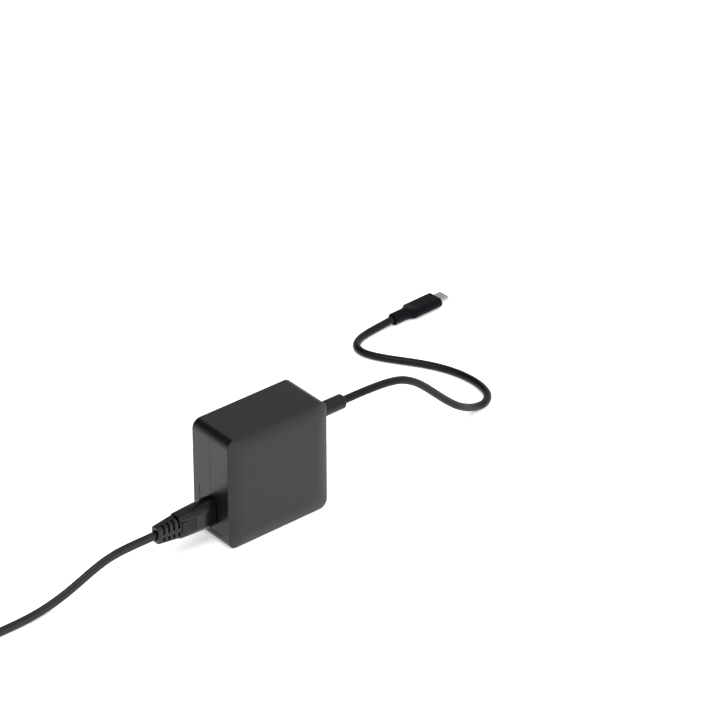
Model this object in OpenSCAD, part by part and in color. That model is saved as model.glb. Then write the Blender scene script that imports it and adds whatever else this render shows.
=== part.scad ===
// Compact notebook power adapter: two-part cushion-faced housing with a figure-8 mains inlet,
// a fixed low-voltage lead with a reversible data-and-power plug, and a detachable mains lead.
// The housing stands on its narrow bottom face; +X is the low-voltage side, -Y the front face.

/* [Housing] */
// Width of the housing along X
body_w = 65.4; // [63:0.2:72]
// Height of the housing above the surface it stands on
body_h = 66; // [65:1:72]
// Depth of the straight side walls, from rim to rim
rim_d = 29; // [29:1:31]
// How far each large face bulges past its rim
crown = 1.8; // [1:0.1:2.4]
// Width of the curved border round each large face
crown_w = 9; // [7:0.5:11]
// Corner radius of the outline seen from the front
corner_r = 5; // [4:0.5:6]
// Thickness of the side walls
wall = 2; // [1.6:0.1:2.2]
// Width of the seam groove between the two covers
seam = 0.1; // [0.1:0.02:0.3]

/* [Mains inlet] */
// Height of the inlet's centre
inlet_z = 18; // [17:0.5:20]
// Width of the inlet's panel, across the side wall
panel_w = 19; // [18:0.2:20]
// Height of the inlet's panel
panel_h = 24.4; // [23:0.2:24.8]
// How deep the panel lies behind the side wall
panel_recess = 0.15; // [0.1:0.05:0.6]
// Long side of the stadium-shaped socket
socket_l = 16.4; // [16:0.1:16.6]
// Short side of the stadium-shaped socket
socket_w = 9.4; // [9.2:0.1:9.6]
// Depth of the socket
socket_depth = 13; // [12:0.5:13.5]
// Diameter of the two inlet pins
pin_d = 2.4; // [2.3:0.05:2.5]
// Distance between the two inlet pins
pin_pitch = 8.6; // [8:0.1:9]

/* [Low-voltage lead] */
// Height of the outlet's centre
outlet_z = 49.1; // [44:0.1:52]
// Length of the strain relief outside the wall
boot_len = 22.4; // [18:0.1:26]
// Diameter of the strain relief at the wall
boot_d = 8.2; // [7.6:0.1:8.6]
// Diameter of the low-voltage cable
cable_d = 4.4; // [3.6:0.1:4.6]
// Width of the small plug's grip
grip_w = 12.4; // [11.6:0.1:12.8]
// Thickness of the small plug's grip
grip_t = 5.8; // [5.4:0.1:6.4]

/* [Mains lead] */
// Length of the appliance connector outside the socket
connector_len = 35.9; // [33:0.1:38]
// Width of the flat twin cord
cord_w = 5; // [4.8:0.1:5.2]
// Thickness of the flat twin cord
cord_t = 3; // [2.8:0.1:3.2]
// Turns in the coiled part of the cord
coil_turns = 5.25; // [5.25:1:6.25]
// Radius of the outermost turn, at the cord's middle
coil_r = 31; // [30:0.5:33]
// Step from one turn to the next within a layer
coil_pitch = 3.7; // [3.6:0.05:3.9]

/* [Wall plug] */
// Width across the two blades
plug_w = 25; // [24:0.5:27]
// Thickness, which is also how high the plug stands when it lies flat
plug_t = 17; // [16:0.5:18]
// Distance between the two blades
blade_pitch = 12.7; // [12.6:0.05:12.8]
// Length of the blades
blade_len = 17.5; // [16:0.1:18]

/* [Hidden] */
eps = 0.01;
wall_x = body_w / 2;             // outer side walls, at -X and +X
rim_y = rim_d / 2;               // where the side walls meet the curved borders
room_y = rim_y - 1;              // inner faces of the covers
board_y = 8;                     // the board's component side, which faces -Y
board_t = 1.6;
board_back = board_y + board_t;
board_left = -27.5;
board_right = 26.8;
post_x = [-25.5, 24.3];          // posts that clamp the board at its corners
post_z = [6, body_h - 5.5];
lip = 1.6;                       // how far the front cover's tongue enters the rear cover
spreader_t = 0.8;
sheet_t = 0.5;
flange_t = 1.2;                  // inner flange of the inlet socket
panel_gap = 0.06;                // between the inlet's panel and its opening in the wall
panel_r = 1.2;
boot_flange_t = 1.6;             // flange of the strain relief, behind the wall
boot_flange_x = wall_x - wall - boot_flange_t;
contact_gap = 0.3;               // between the connector and the inlet's panel
nose_l = socket_l - 0.9;
nose_w = socket_w - 0.9;
nose_end = -wall_x + socket_depth - 0.5;
sleeve_clearance = 0.05;         // running fit of the pins in the connector's sleeves
cord_end_x = -wall_x - contact_gap - connector_len;
cord_seat = 1.2;                 // how deep the cords enter the sunk rings at their ends
shell_w = 8.34;                  // the small plug's metal shell
shell_t = 2.56;
shell_wall = 0.3;
shell_len = 6.65;

// Centre of the coil; the cord comes in along -X on the coil's front side
coil_x = -192;
coil_y = coil_r;
tie_t = 0.5;                     // the coil lies on its tie
tie_w = 4;
layer_gap = 0.5;
layer_z = [tie_t + cord_w / 2, max(tie_t + 1.5 * cord_w + layer_gap, plug_t / 2)];
coil_half = coil_turns / 2;
steps_per_turn = 24;

// The two leads are laid out for side walls at this distance; they follow the walls
lay_x = 32.7;
feed_shift = [wall_x - lay_x, 0, 0];
lead_shift = [lay_x - wall_x, 0, 0];

// The small plug: rear end of its grip, and its turn away from +X
usb_x = 178.15;
usb_y = 103.95;
neck_d = 7.2;
usb_z = neck_d / 2;
usb_turn = 2;
usb_grip_len = 33.5;
usb_heading = [cos(usb_turn), sin(usb_turn), 0];
usb_rear = [usb_x, usb_y, usb_z];

// Low-voltage cable from the strain relief to the small plug
floor_z = cable_d / 2;
cable_route = [
    [lay_x + boot_len, 0, outlet_z], [63, 0, 49.1], [72, 0, 48.9], [80, 0, 48.5], [88, 0, 47.6],
    [95, 0, 46], [101, 0, 43.3], [107, 0, 39.4], [113, 0, 34.3], [119, 0, 28.6], [125, 0, 22.8],
    [131, 0, 17.4], [136.5, 0.3, 13], [142, 1.5, 9.3], [148, 3.1, 5.8], [155, 4.6, 3],
    [161.3, 5.9, floor_z], [167.45, 10.5, floor_z], [170.4, 17.2, floor_z], [171.5, 24.7, floor_z],
    [171.1, 32.6, floor_z], [169.45, 40.6, floor_z], [166.6, 48.65, floor_z],
    [162.85, 56.05, floor_z], [158.5, 63, floor_z], [153.6, 70.1, floor_z],
    [149.05, 77.05, floor_z], [145.4, 84.1, floor_z], [144, 89.65, floor_z],
    [145.4, 96.1, floor_z], [151, 100.8, floor_z], [158.1, 103, floor_z],
    [164.75, 103.7, 2.5], [171.4, 103.75, 3.1], usb_rear, usb_rear + cord_seat * usb_heading
];
// Flat mains cord from the connector down to the surface and on to the coil
cord_route = [
    [cord_end_x + cord_seat, 0, inlet_z], [-76, 0, 18], [-84, 0, 18], [-92, 0, 17.7],
    [-100, 0, 16.5], [-108, 0, 14.1], [-116, 0, 11], [-124, 0, 8], [-132, 0, 5.6],
    [-140, 0, 3.9], [-148, 0, 2.9], [-156, 0, 2.5], [-164, 0, 2.5], [-172, 0, 2.6],
    [-180, 0, 2.8], [-187, 0, layer_z[0]]
];
plug_x = coil_x - coil_r;        // the wall plug lies beside the coil, along +Y
plug_y = 48;
plug_z = layer_z[1];

// ---------- outlines and sweeps ----------

// Rounded rectangle as exact arcs
module rounded_rect(w, h, r) {
    square([w - 2 * r, h], center = true);
    square([w, h - 2 * r], center = true);
    for (x = [-1, 1], y = [-1, 1])
        translate([x * (w / 2 - r), y * (h / 2 - r)]) circle(r = r, $fn = 48);
}

// Stadium with its long side along Y of the sketch
module stadium(w, l) {
    square([w, l - w], center = true);
    for (s = [-1, 1]) translate([0, s * (l - w) / 2]) circle(d = w, $fn = 48);
}

// The same stadium with its long side across the sketch
module stadium_flat(w, l) {
    rotate(90) stadium(w, l);
}

// A sketch drawn in (Y, Z), extruded from x0 to x1
module along_x(x0, x1) {
    translate([x0, 0, 0]) rotate([90, 0, 90]) linear_extrude(x1 - x0) children();
}

// A sketch drawn in (X, Z), extruded from y0 to y1
module along_y(y0, y1) {
    translate([0, y1, 0]) rotate([90, 0, 0]) linear_extrude(y1 - y0) children();
}

// Puts a component that stands on Z = 0 onto the board's component side
module on_board(x, z) {
    translate([x, board_y, z]) rotate([90, 0, 0]) children();
}

function unit(v) = v / norm(v);

// Closed outline of a rounded rectangle as points, each corner in n steps
function rounded_outline(w, h, r, n = 8) = [
    for (q = [0:3], i = [0:n])
        let (
            a = 90 * q + 90 * i / n,
            cx = (q == 0 || q == 3 ? 1 : -1) * (w / 2 - r),
            cy = (q < 2 ? 1 : -1) * (h / 2 - r)
        ) [cx + r * cos(a), cy + r * sin(a)]
];

// Joins a stack of equally long outlines into one closed skin; the outlines turn
// anticlockwise when seen from the last one
module loft(rings) {
    n = len(rings[0]);
    last = len(rings) - 1;
    sides = [
        for (k = [0:last - 1], i = [0:n - 1])
            let (j = (i + 1) % n)
            each [
                [k * n + i, (k + 1) * n + i, k * n + j],
                [k * n + j, (k + 1) * n + i, (k + 1) * n + j]
            ]
    ];
    polyhedron(
        points = [for (ring = rings) each ring],
        faces = concat([[for (i = [0:n - 1]) i]], sides, [[for (i = [n - 1:-1:0]) last * n + i]]),
        convexity = 6
    );
}

// Direction of a route at point i
function heading(p, i) = unit(p[min(i + 1, len(p) - 1)] - p[max(i - 1, 0)]);

// Cross-section of a cord set square to direction t at c, its sketch's Y kept upright
// and then rolled about the cord
function cord_ring(c, t, section, roll = 0) =
    let (
        across = unit(cross(t, [0, 0, 1])),
        up = cross(across, t)
    ) [
        for (q = section)
            let (
                u = q[0] * cos(roll) - q[1] * sin(roll),
                v = q[0] * sin(roll) + q[1] * cos(roll)
            ) c + across * u + up * v
    ];

// One unbroken tube along the points of a route
module sweep(route, section, rolls = []) {
    loft([
        for (i = [len(route) - 1:-1:0])
            cord_ring(route[i], heading(route, i), section, len(rolls) > 0 ? rolls[i] : 0)
    ]);
}

function round_section(d, sides) =
    [for (i = [0:sides - 1]) d / 2 * [cos(360 * i / sides), sin(360 * i / sides)]];

// Flat twin cord in a few sides: its width upright, its edges rounded off
function flat_section(w, t, sides) = [
    for (i = [0:sides - 1])
        let (a = 90 + 360 * i / sides, flat = (w - t) / 2, s = sin(a))
        [t / 2 * cos(a) / max(abs(cos(180 / sides)), 0.5), (abs(s) < 0.1 ? 0 : sign(s) * flat) + t / 2 * s]
];

// ---------- housing ----------

// Rings of one cushion half: the side wall from the seam to the rim, then the curved
// border, whose corners grow rounder towards the flat middle
function cushion_rings(side) =
    let (
        steps = 6,
        big_r = (crown_w * crown_w + crown * crown) / (2 * crown),
        sweep_a = asin(crown_w / big_r),
        border = [
            for (k = [0:steps])
                let (a = sweep_a * (1 - k / steps))
                [crown_w - big_r * sin(a), crown - big_r * (1 - cos(a))]
        ],
        levels = concat([[0, seam / 2 - rim_y]], border)
    ) [
        for (level = levels)
            let (inset = level[0])
            [
                for (p = rounded_outline(body_w - 2 * inset, body_h - 2 * inset, corner_r + 0.45 * inset))
                    [p[0], side * (rim_y + level[1]), p[1] + body_h / 2]
            ]
    ];

module cushion_half(side) {
    rings = cushion_rings(side);
    loft(side < 0 ? rings : [for (i = [len(rings) - 1:-1:0]) rings[i]]);
}

// Outline of the walls' inside, moved out into the wall by `into`
module inner_outline(into = 0) {
    translate([0, body_h / 2])
        rounded_rect(body_w - 2 * (wall - into), body_h - 2 * (wall - into), corner_r - wall + into);
}

// What both covers leave free: the inlet's panel and the strain relief's root
module wall_openings() {
    along_x(-wall_x - 1, -wall_x + wall + eps)
        translate([0, inlet_z])
            rounded_rect(panel_w + 2 * panel_gap, panel_h + 2 * panel_gap, panel_r + panel_gap);
    along_x(wall_x - wall - eps, wall_x + 1)
        translate([0, outlet_z]) circle(d = boot_d, $fn = 64);
}

module front_cover() {
    color("#4b4b4a") {
        difference() {
            union() {
                difference() {
                    cushion_half(-1);
                    along_y(-room_y, 1) inner_outline();
                }
                // tongue that lines up the two covers
                difference() {
                    along_y(-3, lip) inner_outline(0.9);
                    along_y(-4, lip + 1) inner_outline();
                }
            }
            wall_openings();
        }
        for (x = post_x, z = post_z)
            translate([x, board_y, z]) rotate([90, 0, 0]) cylinder(r = 2, h = room_y + board_y, $fn = 32);
        // ribs that hold the inlet's flange and the strain relief's flange against the walls
        translate([-wall_x + wall + flange_t, -room_y, inlet_z - 6]) cube([1.5, room_y - 7, 12]);
        translate([boot_flange_x - 1.5, -room_y, outlet_z - 5]) cube([1.5, room_y - 3, 10]);
    }
}

module rear_cover() {
    color("#464645") {
        difference() {
            cushion_half(1);
            along_y(-1, room_y) inner_outline();
            along_y(-1, lip + 0.05) inner_outline(0.95);
            wall_openings();
        }
        for (x = post_x, z = post_z)
            translate([x, room_y, z]) rotate([90, 0, 0]) cylinder(r = 2, h = room_y - board_back, $fn = 32);
        translate([-wall_x + wall + flange_t, 7, inlet_z - 6]) cube([1.5, room_y - 7, 12]);
    }
}

// ---------- mains inlet ----------

module inlet_socket() {
    color("#1d1d1e") difference() {
        translate([0, 0, inlet_z]) {
            along_x(-wall_x + panel_recess, -wall_x + wall) rounded_rect(panel_w, panel_h, panel_r);
            along_x(-wall_x + wall, -wall_x + wall + flange_t) rounded_rect(23, 27, 1.5);
            along_x(-wall_x + wall, -wall_x + socket_depth + 2)
                rounded_rect(socket_w + 2.4, socket_l + 2.4, 4);
        }
        translate([0, 0, inlet_z]) {
            along_x(-wall_x - 1, -wall_x + socket_depth) stadium(socket_w, socket_l);
            for (s = [-1, 1])
                translate([-wall_x, 0, s * pin_pitch / 2])
                    rotate([0, 90, 0]) cylinder(d = pin_d, h = socket_depth + 3, $fn = 32);
        }
    }
}

// Two round pins with domed tips; flat legs turn down into the board
module inlet_pins() {
    pin_base = -wall_x + socket_depth + 2;
    tip = -wall_x + 3.5;
    color("#c9a85a")
        for (s = [-1, 1]) translate([0, 0, inlet_z + s * pin_pitch / 2]) {
            translate([tip, 0, 0]) rotate([0, 90, 0]) rotate_extrude($fn = 32) {
                translate([0, 1.2]) square([pin_d / 2, pin_base - tip - 1.2]);
                intersection() {
                    translate([0, 1.2]) circle(r = pin_d / 2, $fn = 32);
                    square([pin_d, 1.2]);
                }
            }
            translate([pin_base, -pin_d / 2, -0.6]) cube([1, board_back + 1 + pin_d / 2, 1.2]);
        }
}

// ---------- electronics ----------

module circuit_board() {
    color("#2f6b3c") difference() {
        translate([board_left, board_y, 3]) cube([board_right - board_left, board_t, body_h - 6]);
        // slots for the inlet's legs and an isolation slot between the two sides
        for (s = [-1, 1])
            translate([-wall_x + socket_depth + 2, board_y - 1, inlet_z + s * pin_pitch / 2 - 0.6])
                cube([1, board_t + 2, 1.2]);
        translate([4, board_y - 1, 28]) cube([14, board_t + 2, 1.2]);
    }
}

module fuse() {
    color("#3a3a3a") on_board(-9, 10) {
        translate([0, 0, 0.5]) linear_extrude(7.5) rounded_rect(8.5, 4, 1);
        for (s = [-1, 1]) translate([s * 2.54, 0, 0]) cylinder(d = 0.6, h = 0.6, $fn = 16);
    }
}

module surge_suppressor() {
    color("#2a52a0") on_board(-9, 17) {
        translate([0, 2, 5.6]) rotate([90, 0, 0]) cylinder(d = 9, h = 4, $fn = 48);
        for (s = [-1, 1]) translate([s * 2.5, 0, 0]) cylinder(d = 0.7, h = 3, $fn = 16);
    }
}

module filter_capacitor() {
    color("#d8b23c") on_board(-15.5, 54) linear_extrude(13) rounded_rect(15, 8.5, 0.6);
}

choke_at = [-18.5, 37.5];

module choke_core() {
    color("#2d6e4a") on_board(choke_at[0], choke_at[1])
        translate([0, 0, 1]) rotate_extrude($fn = 64) translate([3.6, 0]) square([3.9, 7]);
}

// Two banks of enamelled wire round the ring, each bank as the tube its turns fill
module choke_winding() {
    color("#b4602a") on_board(choke_at[0], choke_at[1])
        for (a = [-60, 120]) rotate([0, 0, a]) rotate_extrude(angle = 120, $fn = 64)
            difference() {
                translate([2.8, 0]) square([5.5, 9]);
                translate([3.6, 1]) square([3.9, 7]);
            }
}

module bridge_rectifier() {
    color("#1c1c1c") on_board(-9, 24) {
        translate([-5.5, -1.6, 0.8]) cube([11, 3.2, 10.2]);
        for (i = [0:3]) translate([-3.75 + 2.5 * i, 0, 0]) cylinder(d = 0.8, h = 0.9, $fn = 16);
    }
}

// Lies along Z on the board, its bung end turned towards the transformer
module bulk_capacitor() {
    bulk_d = 13;
    color("#26304a") translate([-0.5, board_y - bulk_d / 2, 31]) rotate_extrude($fn = 64) {
        square([bulk_d / 2, 1.6]);
        translate([0, 1.6]) square([bulk_d / 2 - 0.5, 1]);
        translate([0, 2.6]) square([bulk_d / 2, 24.4]);
    }
}

core_at = [13.5, 19];

// Ferrite halves with a round middle leg and open sides
module transformer_core() {
    color("#3b3b3f") on_board(core_at[0], core_at[1]) {
        difference() {
            translate([-9.5, -7, 0]) cube([19, 14, 19]);
            translate([0, 0, 3]) cylinder(r = 7.6, h = 13, $fn = 64);
            translate([-7.6, -8, 3]) cube([15.2, 16, 13]);
        }
        translate([0, 0, 3]) cylinder(r = 3.6, h = 13, $fn = 48);
    }
}

module transformer_bobbin() {
    color("#d9a33a") on_board(core_at[0], core_at[1]) translate([0, 0, 3.1]) rotate_extrude($fn = 64) {
        translate([3.7, 0]) square([3.8, 0.8]);
        translate([3.7, 12]) square([3.8, 0.8]);
        translate([3.7, 0.8]) square([3.4, 11.2]);
    }
}

module power_switch() {
    color("#202022") translate([0, board_back, 8]) cube([8, 0.9, 8]);
}

module safety_capacitor() {
    color("#3f7fc4") on_board(11, 34) {
        translate([0, 1.75, 4.2]) rotate([90, 0, 0]) cylinder(d = 7, h = 3.5, $fn = 48);
        for (s = [-1, 1]) translate([s * 2.2, 0, 0]) cylinder(d = 0.6, h = 3, $fn = 16);
    }
}

module output_capacitors() {
    color("#b9bcc2") for (x = [12, 21]) on_board(x, 43) rotate_extrude($fn = 48) {
        square([4.3, 1]);
        translate([0, 1]) square([4, 9.4]);
        translate([0, 10.4]) square([3.6, 0.6]);
    }
}

module rectifier_switch() {
    color("#202022") translate([13.5, board_back, 31]) cube([5, 1, 6]);
}

// Small upright board with the voltage controller
module control_board() {
    color("#2f6b3c") on_board(14.8, 58) translate([-8, -0.6, 0]) cube([16, 1.2, 13]);
}

module control_chip() {
    color("#1e1e1f") on_board(14.8, 58) translate([-2.5, -1.5, 4]) cube([5, 0.9, 5]);
}

module rear_heat_spreader() {
    color("#b87a4b") translate([-20, room_y - sheet_t - spreader_t, 8]) cube([40, spreader_t, 50]);
}

// Folded sheet: a plate under the front cover and a flange under the top wall
module front_heat_spreader() {
    color("#b87a4b") {
        translate([-20, -room_y, 8]) cube([40, spreader_t, body_h - wall - 8]);
        translate([-20, -room_y + spreader_t, body_h - wall - spreader_t]) cube([40, 17, spreader_t]);
    }
}

// Soft pads that pass heat from the transformer and the two switches to the spreaders
module thermal_pads() {
    rear_plate = room_y - sheet_t - spreader_t;
    color("#8fa5b5") {
        translate([core_at[0] - 7, -room_y + spreader_t, core_at[1] - 7])
            cube([14, room_y - spreader_t + board_y - 19, 14]);
        translate([0, board_back + 0.9, 8]) cube([8, rear_plate - board_back - 0.9, 8]);
        translate([13.5, board_back + 1, 31]) cube([5, rear_plate - board_back - 1, 6]);
    }
}

module insulating_sheet() {
    color("#d7d2c0") translate([-22, room_y - sheet_t, 6]) cube([44, sheet_t, 54]);
}

// ---------- low-voltage lead ----------

module output_wires() {
    wire_d = 1.4;
    for (s = [0, 1])
        let (boot_z = outlet_z - 1.2 + 2.4 * s, board_z = outlet_z + 1.5 + 3 * s)
        color(s == 0 ? "#a02a2a" : "#222222") sweep([
            [boot_flange_x, 0, boot_z], [boot_flange_x - 1.5, 0, boot_z], [25.4, 1.2, boot_z + 0.6],
            [23.6, 3.4, board_z - 0.6], [22.4, 5.6, board_z], [22, 6.8, board_z], [22, board_y, board_z]
        ], round_section(wire_d, 8));
}

// Round sleeve that narrows a little towards its rounded tip, with a flange behind the wall
module output_boot() {
    boot_r = boot_d / 2;
    tip_r = boot_r - 0.15;
    tip_round = 0.9;
    shoulder = boot_flange_t + wall + boot_len - tip_round;
    color("#2b2b2c") translate([boot_flange_x, 0, outlet_z]) rotate([0, 90, 0]) rotate_extrude($fn = 64) {
        square([boot_r + 1.5, boot_flange_t]);
        polygon([
            [0, 0], [boot_r, 0], [boot_r, boot_flange_t + wall], [tip_r, shoulder], [0, shoulder]
        ]);
        translate([0, shoulder]) square([tip_r - tip_round, tip_round]);
        intersection() {
            translate([tip_r - tip_round, shoulder]) circle(r = tip_round, $fn = 48);
            translate([0, shoulder]) square([boot_r, tip_round]);
        }
    }
}

module output_cable() {
    color("#242526") sweep([for (p = cable_route) p + feed_shift], round_section(cable_d, 8));
}

// Places a part of the small plug, drawn along +X from the rear end of the grip
module on_usb_plug(x = 0) {
    translate(usb_rear + feed_shift) rotate([0, 0, usb_turn]) translate([x, 0, 0]) children();
}

// Round neck that swells into a flat grip; the cable enters through a sunk ring
module usb_plug_grip() {
    stations = [
        [0, neck_d, neck_d], [8.3, neck_d, neck_d], [10.3, 8, 7.1], [12, 9.8, 6.9],
        [13, 11.6, 6.5], [14, grip_w, 6.2], [15.5, grip_w, grip_t],
        [usb_grip_len - 0.7, grip_w, grip_t], [usb_grip_len, grip_w - 1, grip_t - 1]
    ];
    color("#1b1c20") on_usb_plug() difference() {
        loft([
            for (s = stations)
                [for (p = rounded_outline(s[1], s[2], min(s[1], s[2]) / 2 - eps, 7)) [s[0], p[0], p[1]]]
        ]);
        along_x(usb_grip_len - 2, usb_grip_len + 1) stadium_flat(shell_t, shell_w);
        translate([-1, 0, 0]) rotate([0, 90, 0])
            cylinder(d = cable_d + 1.2, h = 1 + cord_seat, $fn = 32);
    }
}

module usb_plug_shell() {
    color("#c2c4c8") on_usb_plug(usb_grip_len - 2) along_x(0, shell_len + 2) difference() {
        stadium_flat(shell_t, shell_w);
        stadium_flat(shell_t - 2 * shell_wall, shell_w - 2 * shell_wall);
    }
}

// Insulator at the back of the shell and the two contact carriers beside the tongue's gap
module usb_plug_contacts() {
    inner_t = shell_t - 2 * shell_wall;
    inner_w = shell_w - 2 * shell_wall;
    color("#202020") on_usb_plug(usb_grip_len - 2) {
        along_x(0, 2.4) stadium_flat(inner_t, inner_w);
        for (s = [-1, 1]) translate([2.4, -3, s * (inner_t / 2 - 0.2) - 0.2]) cube([4.8, 6, 0.4]);
    }
}

// ---------- mains lead ----------

// Cross-sections of the connector from its front collar to its tip:
// distance from the front, width, height, corner radius
connector_stations = [
    [0, 10.4, 16.4, 4.9], [0.6, 10.9, 17, 5.1], [3.2, 10.9, 17, 5.1], [5.5, 10.3, 16.7, 4.7],
    [9, 9.8, 16, 4], [15, 9.2, 14.7, 3], [20, 8.7, 13.5, 2.2], [22.8, 8.5, 12.8, 1.8],
    [23.2, 8, 12.2, 2.2], [35.5, 6, 9.7, 1.6], [connector_len, 5.8, 9.5, 1.5]
];
relief_x = 23.2;                 // where the strain relief begins
slot_first = 22.95;              // first slot, at the shoulder
slot_pitch = 3;
slot_w = 1.2;
slot_depth = 1.3;

// Half-width and half-height of the strain relief at a distance from the front
function relief_half(x) = let (f = max(x - relief_x, 0) / 12.3) [4 - f, 6.1 - 1.25 * f];

// Grooves that let the strain relief bend: on each side a long one that wraps over one
// edge, and a short one past a bridge; the far side is the same, turned half round
module relief_slots() {
    for (i = [0:3], turn = [0, 180]) {
        x = slot_first + slot_pitch * i;
        half = relief_half(x);
        bridge = 0.9 - 0.1 * i;
        short_len = 2.5 - 0.2 * i;
        translate([-x - slot_w, 0, 0]) rotate([turn, 0, 0]) {
            translate([0, -half[0] - 1, bridge]) cube([slot_w, slot_depth + 1, 6.5]);
            translate([0, -half[0] - 1, half[1] - slot_depth])
                cube([slot_w, half[0] + 1 + (i == 0 ? 0.6 : -0.8), 3]);
            translate([0, -half[0] - 1, -1.4 - short_len]) cube([slot_w, slot_depth + 1, short_len]);
        }
    }
}

module connector_grip() {
    pad_face = 4.8;
    color("#1a1a1b") translate([-wall_x - contact_gap, 0, inlet_z]) difference() {
        union() {
            loft([
                for (i = [len(connector_stations) - 1:-1:0])
                    let (s = connector_stations[i])
                    [for (p = rounded_outline(s[1], s[2], s[3], 6)) [-s[0], p[0], p[1]]]
            ]);
            // raised thumb pads on both sides
            for (turn = [0, 180]) rotate([turn, 0, 0])
                along_y(-pad_face, 0) translate([-17.6, 0.45]) rounded_rect(8.8, 6.9, 0.25);
        }
        relief_slots();
        // sunk ring round the cord
        along_x(-connector_len - 1, -connector_len + cord_seat) stadium(cord_t + 1, cord_w + 1.2);
        // seat of the nose
        along_x(-6, 1) stadium(nose_w, nose_l);
    }
}

// Hard insulator: a figure-8 nose with a bore for each pin
module connector_nose() {
    color("#111112") translate([0, 0, inlet_z]) difference() {
        union() {
            along_x(-wall_x - contact_gap - 6, -wall_x - contact_gap) stadium(nose_w, nose_l);
            along_x(-wall_x - contact_gap, nose_end)
                for (s = [-1, 1]) {
                    translate([0, s * (nose_l - nose_w) / 2]) circle(d = nose_w, $fn = 48);
                    translate([0, s * 1.2]) square([nose_w - 1.6, 4], center = true);
                }
        }
        for (s = [-1, 1]) translate([-wall_x - 4, 0, s * pin_pitch / 2])
            rotate([0, 90, 0]) cylinder(d = 3.6, h = socket_depth + 6, $fn = 32);
    }
}

module connector_sleeves() {
    color("#c9a85a") for (s = [-1, 1])
        translate([-wall_x - 4, 0, inlet_z + s * pin_pitch / 2]) rotate([0, 90, 0])
            difference() {
                cylinder(d = 3.6, h = nose_end + wall_x + 4 - 0.6, $fn = 32);
                translate([0, 0, 2]) cylinder(r = pin_d / 2 + sleeve_clearance, h = 30, $fn = 32);
            }
}

module mains_cord() {
    color("#1f1f20") sweep([for (p = cord_route) p + lead_shift], flat_section(cord_w, cord_t, 8));
}

// The coil winds in through half its turns and out again one layer higher. It climbs in
// the half turn where it reverses.
function coil_layer(t) = let (s = min(max((t - coil_half) * 2 + 0.5, 0), 1)) s * s * (3 - 2 * s);
function coil_radius(t) = coil_r - coil_pitch * min(t, coil_turns - t);
function coil_point(t) =
    let (a = -90 - 360 * t, r = coil_radius(t))
    [
        coil_x + r * cos(a), coil_y + r * sin(a),
        layer_z[0] + (layer_z[1] - layer_z[0]) * coil_layer(t)
    ];
coil_loops = [for (i = [0:coil_turns * steps_per_turn]) coil_point(i / steps_per_turn)];
// The cord's last stretch leaves straight along +Y and turns flat on its way to the plug
tail = [for (y = [1, 5, 9, 13, plug_y - coil_y]) [plug_x, coil_y + y, layer_z[1]]];
tail_rolls = [0, 15, 45, 75, 90];
coil_route = concat([[-187, 0, layer_z[0]]], coil_loops, tail);
coil_rolls = concat([for (i = [0:len(coil_loops)]) 0], tail_rolls);

// Least gap of the coil to itself: each cross-section counts as three points along the
// cord's width, each the middle of a circle as wide as the cord is thick
coil_middles = [
    for (i = [1:len(coil_route) - 1], s = [-1, 0, 1])
        let (
            t = heading(coil_route, i),
            across = unit(cross(t, [0, 0, 1])),
            flank = across * -sin(coil_rolls[i]) + cross(across, t) * cos(coil_rolls[i])
        ) coil_route[i] + flank * s * (cord_w - cord_t) / 2
];
half_turn = 3 * steps_per_turn / 2;
coil_gap = min([
    for (i = [0:len(coil_middles) - 1], j = [i + half_turn:1:len(coil_middles) - 1])
        norm(coil_middles[i] - coil_middles[j])
]) - cord_t;
echo(coil_gap = coil_gap);

module mains_coil() {
    color("#1f1f20")
        sweep([for (p = coil_route) p + lead_shift], flat_section(cord_w, cord_t, 6), coil_rolls);
}

// Flat wire tie round the bundle, where both layers lie in step; its ends are twisted
// together on the outside
module cord_tie() {
    turn = 0.125;
    slack = 0.15;
    curve_slack = 0.5;           // the turns bend across the tie's width
    inner = coil_radius(turn + 2) - cord_t / 2 - curve_slack;
    outer = coil_radius(turn) + cord_t / 2 + slack;
    top = layer_z[1] + cord_w / 2 + slack;
    middle = [(inner + outer) / 2, (top + tie_t) / 2];
    color("#2a2a2a") translate([coil_x, coil_y, 0] + lead_shift) rotate([0, 0, -90 - 360 * turn]) {
        translate([0, tie_w / 2, 0]) rotate([90, 0, 0]) linear_extrude(tie_w)
            translate(middle) difference() {
                rounded_rect(outer - inner + 2 * tie_t, top + tie_t, 1.2);
                rounded_rect(outer - inner, top - tie_t, 0.7);
            }
        translate([outer + tie_t / 2, 0, middle[1]]) rotate([0, 90, 0])
            linear_extrude(11, twist = 540, slices = 18) square([3, 0.9], center = true);
    }
}

// ---------- wall plug ----------

plug_core = 46;                  // length from the strain relief's tip to the front face

module wall_plug_grip() {
    stations = [
        [0, 6.4, 5, 2.4], [1, 7.2, 5.6, 2.7], [13, 10.4, 8.6, 3.2], [16, 13, 10.4, 3.6], [19, 17.5, 13, 4],
        [23, 21.4, 15.2, 4.2], [28, 23.8, 16.5, 4.2], [34, plug_w, plug_t, 4], [44.8, plug_w, plug_t, 4],
        [plug_core, plug_w - 2, plug_t - 2, 3.2]
    ];
    color("#1d1d1e") translate([plug_x, plug_y, plug_z] + lead_shift) difference() {
        loft([
            for (i = [len(stations) - 1:-1:0])
                let (s = stations[i])
                [for (p = rounded_outline(s[1], s[2], s[3], 6)) [p[0], s[0], p[1]]]
        ]);
        // finger grooves on both flat sides
        for (i = [0:3], s = [-1, 1])
            translate([-6, 29 + 3.2 * i, s * (plug_t / 2 + 0.2) - 0.9]) cube([12, 1.3, 1.8]);
        // slots that the blades are moulded into
        for (s = [-1, 1])
            translate([s * blade_pitch / 2 - 0.76, plug_core - 9, -3.18]) cube([1.52, 10, 6.36]);
    }
}

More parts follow.
